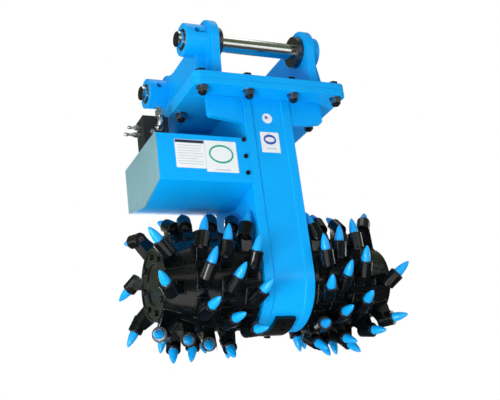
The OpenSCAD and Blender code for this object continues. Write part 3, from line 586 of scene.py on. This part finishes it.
def foot_loops(node):
    """The lines where the holders of a node meet the drum."""
    bm = node_bmesh(node)
    bm.faces.ensure_lookup_table()
    on = {
        v.index: abs(radius_of(v.co) - shell_radius(v.co.x)) < ON_SHELL for v in bm.verts
    }

    def lies_on_shell(face):
        if not all(on[v.index] for v in face.verts):
            return False
        c = face.calc_center_median()
        out = Vector((0, c.y - LEG_Y, c.z - DRUM_Z)).normalized()
        return face.normal.dot(out) < FACES_SHELL

    flat = {f.index: lies_on_shell(f) for f in bm.faces}
    near = {}
    for edge in bm.edges:
        if len(edge.link_faces) != 2:
            continue
        first, second = edge.link_faces
        if flat[first.index] != flat[second.index]:
            a, b = edge.verts
            near.setdefault(a.index, []).append(b.index)
            near.setdefault(b.index, []).append(a.index)
    bm.verts.ensure_lookup_table()
    loops, used = [], set()
    for start in sorted(near):
        if start in used:
            continue
        chain, here = [start], start
        used.add(start)
        while True:
            following = [v for v in near[here] if v not in used]
            if not following:
                break
            here = following[0]
            used.add(here)
            chain.append(here)
        if len(chain) > SHORTEST_LOOP:
            loops.append([bm.verts[i].co.copy() for i in chain])
    bm.free()
    return loops


for side in ("left", "right"):
    lines = [(loop, True, HOLDER_BEAD) for loop in foot_loops(side + "_pick_holders")]
    weld_piece(side + "_holder_welds", "drums", "black_paint", BLACK, lines)

# A pick's head ends this far below its tip, and a steel ring sits round its foot
PICK_HEAD = 0.058
HEAD_EDGE = 0.0002
TAIL_SHARE = 0.995
RING_TOP = 0.054
RING_SIDES = 28
# Section of the ring: radius, and depth below its top
RING_SECTION = (
    (0.0127, 0.0002),
    (0.0186, 0.0002),
    (0.0197, 0.0012),
    (0.0197, 0.0036),
    (0.0127, 0.0036),
)


def separate_solids(bm):
    """Lists of the corners of each separate solid in a mesh."""
    bm.verts.ensure_lookup_table()
    seen, groups = set(), []
    for first in bm.verts:
        if first.index in seen:
            continue
        group, queue = [], [first]
        seen.add(first.index)
        while queue:
            vert = queue.pop()
            group.append(vert)
            for edge in vert.link_edges:
                other = edge.other_vert(vert)
                if other.index not in seen:
                    seen.add(other.index)
                    queue.append(other)
        groups.append(group)
    return groups


def add_ring(bm, place):
    """A turned ring about the Z axis of the place."""
    rows = []
    for i in range(RING_SIDES):
        a = 2 * math.pi * i / RING_SIDES
        rows.append([
            bm.verts.new(place @ Vector((r * math.cos(a), r * math.sin(a), RING_TOP + down)))
            for r, down in RING_SECTION
        ])
    corners = len(RING_SECTION)
    for i in range(RING_SIDES):
        a, b = rows[i], rows[(i + 1) % RING_SIDES]
        for k in range(corners):
            m = (k + 1) % corners
            bm.faces.new((a[k], a[m], b[m], b[k]))


def finish_picks(node):
    """Painted heads on bare shanks, and a steel ring round the foot of each head."""
    bm = node_bmesh(node)
    rings = bmesh.new()
    for group in separate_solids(bm):
        tip = max(group, key=lambda v: radius_of(v.co)).co.copy()
        reach = max((v.co - tip).length for v in group)
        tail = [v.co for v in group if (v.co - tip).length > reach * TAIL_SHARE]
        axis = (sum(tail, Vector()) / len(tail) - tip).normalized()
        for face in {f for v in group for f in v.link_faces}:
            depth = (face.calc_center_median() - tip).dot(axis)
            face.material_index = 1 if depth > PICK_HEAD + HEAD_EDGE else 0
        spin = Vector((0, 0, 1)).rotation_difference(axis).to_matrix().to_4x4()
        add_ring(rings, Matrix.Translation(tip) @ spin)
    bmesh.ops.recalc_face_normals(rings, faces=rings.faces[:])
    piece = new_piece(
        node + "_finished", bm, "drums", "pick_paint", [PICK, SHANK], ROUND_SMOOTH
    )
    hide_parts(node)
    new_piece(node + "_rings", rings, "drums", "bush_steel", [BUSH], ROUND_SMOOTH)


finish_picks("left_picks")
finish_picks("right_picks")

# Inner pieces

for material, nodes in (
    (GEAR, (
        "motor_rotor", "motor_shaft", "pinion", "pinion_key", "pinion_bearings", "idler_gear",
        "idler_pin", "drum_gear", "drum_gear_key", "drum_shaft", "bearing_outer_rings",
        "bearing_inner_rings", "bearing_rollers", "drum_keys",
    )),
    (DARK, ("motor_bolts", "carrier_bolts", "shaft_end_plates", "shaft_end_bolts")),
    (RUBBER, ("pinion_seal", "shaft_seals")),
    (BRONZE, ("idler_bush", "idler_spacers")),
    (CAST, ("bearing_carriers",)),
):
    for node in nodes:
        finish_node(node, material)

# Welds of the steelwork

EAR_BEAD = 0.0052
BOSS_BEAD = 0.0042
RIB_BEAD = 0.004
BAND_BEAD = 0.0032
EAR_FOOT_FRONT = -0.046
EAR_FOOT_BACK = 0.398
BOSS_R = 0.062
RIB_HALF = 0.0125
RIB_TOP = -0.074
RIB_FOOT_IN = EAR_OUT + 0.003
RIB_FOOT_OUT = 0.268
BAND_STEPS = 60

frame_lines = []
for side in (-1, 1):
    for x in (side * EAR_IN, side * EAR_OUT):
        foot = [(x, EAR_FOOT_FRONT, PLATE_TOP), (x, EAR_FOOT_BACK, PLATE_TOP)]
        frame_lines.append((foot, False, EAR_BEAD))
    x = side * EAR_OUT
    for y in (0.0, PIN_PITCH):
        frame_lines.append((circle_x(x, y, 0.0, BOSS_R), True, BOSS_BEAD))
    for y in (-RIB_HALF, RIB_HALF):
        upright = [(x, y, RIB_TOP), (x, y, PLATE_TOP)]
        foot = [(side * RIB_FOOT_IN, y, PLATE_TOP), (side * RIB_FOOT_OUT, y, PLATE_TOP)]
        frame_lines.append((upright, False, RIB_BEAD))
        frame_lines.append((foot, False, RIB_BEAD))
    x = side * CASE_IN
    stadium = [(x, LEG_Y - BAND_R, FLANGE_BOTTOM)]
    stadium += circle_x(x, LEG_Y, DRUM_Z, BAND_R, first=-180.0, last=0.0, count=BAND_STEPS)
    stadium += [(x, LEG_Y + BAND_R, FLANGE_BOTTOM)]
    frame_lines.append((stadium, False, BAND_BEAD))
weld_piece("frame_welds", "frame", "blue_paint", BLUE, frame_lines)

# Labels: bare foil with a plain strip, bars and rings, on the guard and on the leg's band

GUARD_FACE = LEG_Y - LEG_R
BAND_FACE = LEG_Y - BAND_R
FOIL_T = 0.0004
INK_T = 0.0002
BAR_T = INK_T * 0.5
CORNER_STEPS = 6
ELLIPSE_STEPS = 72


def rounded(x0, x1, z0, z1, radius):
    """Outline of a rectangle with rounded corners."""
    points = []
    for cx, cz, start in (
        (x1 - radius, z1 - radius, 0),
        (x0 + radius, z1 - radius, 90),
        (x0 + radius, z0 + radius, 180),
        (x1 - radius, z0 + radius, 270),
    ):
        for i in range(CORNER_STEPS + 1):
            a = math.radians(start + 90 * i / CORNER_STEPS)
            points.append((cx + radius * math.cos(a), cz + radius * math.sin(a)))
    return points


def ellipse(x, z, wide, high):
    """Outline of an ellipse about a point, by its half sizes."""
    turns = [2 * math.pi * i / ELLIPSE_STEPS for i in range(ELLIPSE_STEPS)]
    return [(x + wide * math.cos(a), z + high * math.sin(a)) for a in turns]


def flat_plate(outline, y, thick):
    """A flat piece with the outline (x, z), which faces the front at depth y."""
    bm = bmesh.new()
    back = [bm.verts.new((x, y, z)) for x, z in outline]
    face = bm.faces.new(back)
    made = bmesh.ops.extrude_face_region(bm, geom=[face])
    moved = [v for v in made["geom"] if isinstance(v, bmesh.types.BMVert)]
    bmesh.ops.translate(bm, verts=moved, vec=(0, -thick, 0))
    bmesh.ops.recalc_face_normals(bm, faces=bm.faces[:])
    return bm


def flat_ring(outer, inner, y, thick):
    """A flat ring between two outlines with as many points each."""
    bm = bmesh.new()
    rows = []
    for depth in (y, y - thick):
        rows.append([bm.verts.new((x, depth, z)) for x, z in outer])
        rows.append([bm.verts.new((x, depth, z)) for x, z in inner])
    low_out, low_in, top_out, top_in = rows
    n = len(outer)
    for i in range(n):
        j = (i + 1) % n
        bm.faces.new((top_out[i], top_out[j], top_in[j], top_in[i]))
        bm.faces.new((low_out[i], low_out[j], top_out[j], top_out[i]))
        bm.faces.new((low_in[j], low_in[i], top_in[i], top_in[j]))
        bm.faces.new((low_out[j], low_out[i], low_in[i], low_in[j]))
    bmesh.ops.recalc_face_normals(bm, faces=bm.faces[:])
    return bm


def label(name, slot, material, bm):
    new_piece(name, bm, "frame", slot, [material], ROUND_SMOOTH)


def foil(name, outline, face):
    """A blank sheet on a face."""
    label(name, "pale_paint", FOIL, flat_plate(outline, face, FOIL_T))


def printed(name, slot, material, outline, face, hole=None):
    """Print on the foil of a face. With a hole it is a ring."""
    y = face - FOIL_T
    bm = flat_ring(outline, hole, y, INK_T) if hole else flat_plate(outline, y, INK_T)
    label(name, slot, material, bm)


def text_bars():
    """Grey bars of uneven length in place of lines of print."""
    first_z, pitch, high = -0.4365, 0.0098, 0.0026
    left, right, corner = -0.369, -0.276, 0.0006
    bars = bmesh.new()
    for i in range(8):
        z = first_z - i * pitch
        end = right - (0.012 if i % 3 == 2 else 0.0) - (0.006 if i % 4 == 1 else 0.0)
        bar = flat_plate(rounded(left, end, z - high, z, corner), GUARD_FACE - FOIL_T, BAR_T)
        scrap = bpy.data.meshes.new("bar")
        bar.to_mesh(scrap)
        bar.free()
        bars.from_mesh(scrap)
        bpy.data.meshes.remove(scrap)
    return bars


foil("notice_left", rounded(-0.377, -0.267, -0.522, -0.415, 0.002), GUARD_FACE)
printed(
    "notice_left_strip", "black_paint", INK,
    rounded(-0.3755, -0.2685, -0.4275, -0.4165, 0.001), GUARD_FACE,
)
label("notice_left_bars", "pale_paint", GREY_INK, text_bars())
foil("notice_right", rounded(-0.266, -0.145, -0.533, -0.414, 0.002), GUARD_FACE)
printed(
    "notice_right_ring", "blue_paint", GREEN_INK,
    ellipse(-0.2055, -0.464, 0.047, 0.0355), GUARD_FACE,
    hole=ellipse(-0.2055, -0.464, 0.0405, 0.0285),
)
printed(
    "notice_right_bar", "pale_paint", GREY_INK,
    rounded(-0.236, -0.176, -0.526, -0.522, 0.001), GUARD_FACE,
)
foil("leg_notice", rounded(-0.040, 0.035, -0.444, -0.363, 0.002), BAND_FACE)
printed(
    "leg_notice_ring", "blue_paint", BLUE_INK,
    ellipse(-0.003, -0.3925, 0.0255, 0.0200), BAND_FACE,
    hole=ellipse(-0.003, -0.3925, 0.0190, 0.0100),
)
printed(
    "leg_notice_bar", "pale_paint", GREY_INK,
    rounded(-0.022, 0.018, -0.431, -0.4265, 0.001), BAND_FACE,
)
foil("round_badge", ellipse(-0.002, -0.307, 0.020, 0.020), BAND_FACE)
printed(
    "round_badge_dot", "blue_paint", VIOLET_INK,
    ellipse(-0.006, -0.304, 0.006, 0.006), BAND_FACE,
)


# Studio

SOFT_LIGHT = 0.62
# What polished surfaces mirror, from straight down to straight up
ROOM_BANDS = (
    (0.0, (0.12, 0.12, 0.125)),
    (0.38, (0.10, 0.10, 0.105)),
    (0.42, (0.04, 0.04, 0.045)),
    (0.465, (0.04, 0.04, 0.045)),
    (0.48, (1.0, 1.0, 1.0)),
    (0.56, (1.0, 1.0, 1.0)),
    (0.60, (0.14, 0.18, 0.12)),
    (0.85, (0.12, 0.15, 0.10)),
    (1.0, (0.38, 0.39, 0.40)),
)
FLOOR_Z = -2.5
FLOOR_HALF = 9.0
FLOOR_SQUARES = 8
FADE_FROM = 1.6
FADE_TO = 4.2


def node_of(tree, kind, **values):
    made = tree.nodes.new(kind)
    for key, value in values.items():
        setattr(made, key, value)
    return made


def studio_world():
    """White behind the object, a soft grey light all round, and a banded room in reflections."""
    world = bpy.data.worlds.new("studio")
    bpy.context.scene.world = world
    world.use_nodes = True
    tree = world.node_tree
    tree.nodes.clear()
    link = tree.links.new
    path = node_of(tree, "ShaderNodeLightPath")
    place = node_of(tree, "ShaderNodeTexCoord")
    split = node_of(tree, "ShaderNodeSeparateXYZ")
    link(place.outputs["Generated"], split.inputs[0])
    height = node_of(tree, "ShaderNodeMapRange")
    link(split.outputs["Z"], height.inputs["Value"])
    height.inputs["From Min"].default_value = -1.0
    bands = node_of(tree, "ShaderNodeValToRGB")
    link(height.outputs[0], bands.inputs[0])
    elements = bands.color_ramp.elements
    while len(elements) < len(ROOM_BANDS):
        elements.new(0.5)
    for element, (at, colour) in zip(elements, ROOM_BANDS):
        element.position = at
        element.color = rgb(*colour)
    soft, room, white = (node_of(tree, "ShaderNodeBackground") for _ in range(3))
    soft.inputs[0].default_value = rgb(0.95, 0.97, 1.0)
    soft.inputs[1].default_value = SOFT_LIGHT
    link(bands.outputs[0], room.inputs[0])
    room.inputs[1].default_value = 1.0
    white.inputs[0].default_value = rgb(1, 1, 1)
    white.inputs[1].default_value = 1.0
    shine, seen = node_of(tree, "ShaderNodeMixShader"), node_of(tree, "ShaderNodeMixShader")
    link(path.outputs["Is Glossy Ray"], shine.inputs[0])
    link(soft.outputs[0], shine.inputs[1])
    link(room.outputs[0], shine.inputs[2])
    straight = node_of(tree, "ShaderNodeMath", operation="MAXIMUM")
    link(path.outputs["Is Camera Ray"], straight.inputs[0])
    link(path.outputs["Is Transmission Ray"], straight.inputs[1])
    link(straight.outputs[0], seen.inputs[0])
    link(shine.outputs[0], seen.inputs[1])
    link(white.outputs[0], seen.inputs[2])
    out = node_of(tree, "ShaderNodeOutputWorld")
    link(seen.outputs[0], out.inputs[0])


def floor_material():
    """Pale matt floor that fades into the white far off and looks dark in reflections."""
    g = Graph("pale_floor")
    grain = g.ramp(g.noise(scale=9.0, detail=6.0, rough=0.6), low=0.3, high=0.8)
    colour = g.mix(grain, rgb(0.80, 0.80, 0.79), rgb(0.72, 0.72, 0.71))
    relief = g.bump(g.noise(scale=60.0, detail=4.0), distance=0.0004, strength=0.3)
    g.set(Base_Color=colour, Roughness=0.7, Normal=relief)
    tree = g.tree
    link = tree.links.new
    white = node_of(tree, "ShaderNodeEmission")
    white.inputs[0].default_value = rgb(1, 1, 1)
    dim = node_of(tree, "ShaderNodeEmission")
    dim.inputs[0].default_value = rgb(0.08, 0.08, 0.085)
    far = g.node("ShaderNodeVectorMath", {0: g.place}, operation="LENGTH").outputs["Value"]
    fade = g.ramp(far, low=FADE_FROM, high=FADE_TO)
    path = node_of(tree, "ShaderNodeLightPath")
    direct = g.math("MAXIMUM", path.outputs["Is Camera Ray"], path.outputs["Is Transmission Ray"])
    mixed = node_of(tree, "ShaderNodeMixShader")
    link(g.math("MULTIPLY", fade, direct), mixed.inputs[0])
    link(g.shader.outputs[0], mixed.inputs[1])
    link(white.outputs[0], mixed.inputs[2])
    mirrored = node_of(tree, "ShaderNodeMixShader")
    link(path.outputs["Is Glossy Ray"], mirrored.inputs[0])
    link(mixed.outputs[0], mirrored.inputs[1])
    link(dim.outputs[0], mirrored.inputs[2])
    link(mirrored.outputs[0], tree.nodes["Material Output"].inputs[0])
    return g.material


studio_world()
floor_mesh = bpy.data.meshes.new("floor")
floor_bm = bmesh.new()
bmesh.ops.create_grid(
    floor_bm, x_segments=FLOOR_SQUARES, y_segments=FLOOR_SQUARES, size=FLOOR_HALF
)
floor_bm.to_mesh(floor_mesh)
floor_bm.free()
floor = bpy.data.objects.new("floor", floor_mesh)
bpy.context.scene.collection.objects.link(floor)
floor.location = (0.0, LEG_Y, FLOOR_Z)
floor_mesh.materials.append(floor_material())

AIM = Vector((0.0, 0.12, -0.55))
# Soft boxes that look at the object: name, place, size in metres and power in watts
LAMPS = (
    ("key", (-2.0, -3.3, 0.9), 0.9, 7.0),
    ("low_left", (-2.6, -1.6, -2.0), 1.2, 80.0),
    ("front_fill", (1.6, -3.4, -0.7), 1.4, 6.0),
    ("low_fill", (-0.5, -0.9, -2.35), 1.6, 12.0),
    ("top", (0.0, 0.3, 2.3), 2.2, 20.0),
    ("left_side", (-3.2, 0.4, -0.6), 1.4, 6.0),
    ("right_side", (3.2, 0.6, -0.3), 1.4, 16.0),
    ("back", (0.4, 3.6, 0.3), 1.8, 38.0),
)
for name, place, size, power in LAMPS:
    data = bpy.data.lights.new(name, "AREA")
    data.shape = "RECTANGLE"
    data.size = size
    data.size_y = size
    data.energy = power
    item = bpy.data.objects.new(name, data)
    bpy.context.scene.collection.objects.link(item)
    item.location = place
    item.rotation_mode = "QUATERNION"
    item.rotation_quaternion = (AIM - Vector(place)).to_track_quat("-Z", "Y")

# Camera at the photograph's viewing angle: rows are right, down and forward

VIEW = (
    (0.9076, -0.4016, -0.1221),
    (0.032, 0.3556, -0.934),
    (0.419, 0.8438, 0.3361),
)
CAMERA_PLACE = (-1.4255, -2.6615, -1.6828)
camera_data = bpy.data.cameras.new("camera")
camera_data.lens = 64.37
camera_data.sensor_width = 36.0
camera_data.clip_start = 0.05
camera_data.clip_end = 60.0
camera = bpy.data.objects.new("camera", camera_data)
bpy.context.scene.collection.objects.link(camera)
turn = Matrix([[VIEW[0][k], -VIEW[1][k], -VIEW[2][k]] for k in range(3)])
camera.matrix_world = Matrix.Translation(CAMERA_PLACE) @ turn.to_4x4()
bpy.context.scene.camera = camera
bpy.context.scene.view_settings.view_transform = "Standard"
